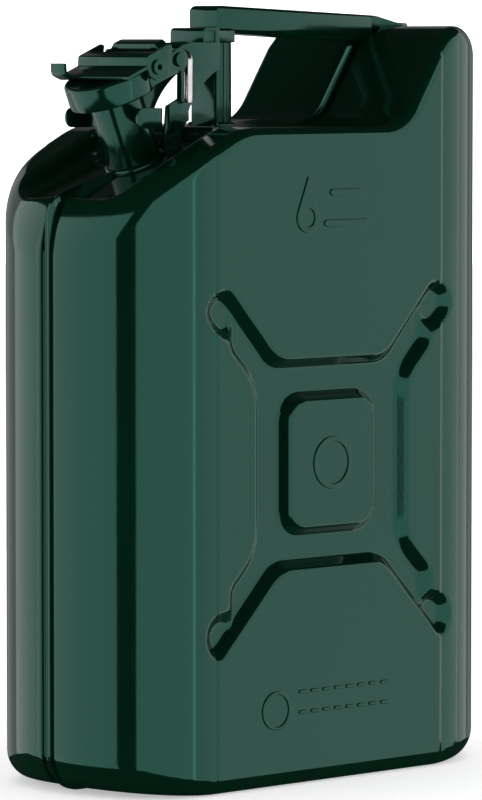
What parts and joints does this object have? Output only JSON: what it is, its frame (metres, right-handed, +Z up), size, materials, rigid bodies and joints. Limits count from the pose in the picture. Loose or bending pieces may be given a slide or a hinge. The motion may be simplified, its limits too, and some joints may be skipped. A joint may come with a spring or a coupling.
{
  "type": "jerry can",
  "caption": "Pressed-steel jerry can of about ten litres with a slanted filler neck, hinged clamp lid, wire safety pin and a welded carrying bar.",
  "frame": {"origin": "middle of the base, on the surface that the can stands on", "axes": "+Z up, +Y through the thickness from the front face to the rear face, +X along the wide side away from the spout"},
  "size_m": [0.2598, 0.129, 0.3799],
  "materials": {
    "green_paint": "satin",
    "zinc_wire": "polished",
    "seal_rubber": "matte"
  },
  "bodies": {
    "root": {"front_shell": "green_paint", "rear_shell": "green_paint", "weld_seam": "green_paint", "filler_neck": "green_paint", "neck_lip": "green_paint", "neck_weld": "green_paint", "breather_tube": "zinc_wire", "handle_post": "green_paint", "handle_bar": "green_paint", "handle_end_tab": "green_paint", "handle_welds": "green_paint", "front_cheek": "green_paint", "rear_cheek": "green_paint", "handle_clamp": "green_paint", "neck_yoke": "green_paint", "cheek_spot_welds": "green_paint", "hinge_pin": "green_paint", "hinge_pin_heads": "green_paint"},
    "lid": {"lid_cup": "green_paint", "lid_arm": "green_paint", "lid_gasket": "seal_rubber", "gasket_retainer": "zinc_wire", "lever_rivets": "green_paint", "lever_washers": "green_paint"},
    "lever": {"locking_lever": "green_paint"},
    "safety_pin": {"safety_pin": "zinc_wire"}
  },
  "joints": [
    {"name": "lid_hinge", "type": "hinge", "parent": "root", "child": "lid", "pos_m": [-0.06189, 0, 0.35357], "axis": [0, 1, 0], "range_deg": [0, 70]},
    {"name": "lever_pivot", "type": "hinge", "parent": "lid", "child": "lever", "pos_m": [-0.07999, 0, 0.34996], "axis": [0, 1, 0], "range_deg": [0, 50]},
    {"name": "safety_pin_slide", "type": "slide", "parent": "root", "child": "safety_pin", "axis": [0, -1, 0], "range_m": [0, 0.06]}
  ]
}
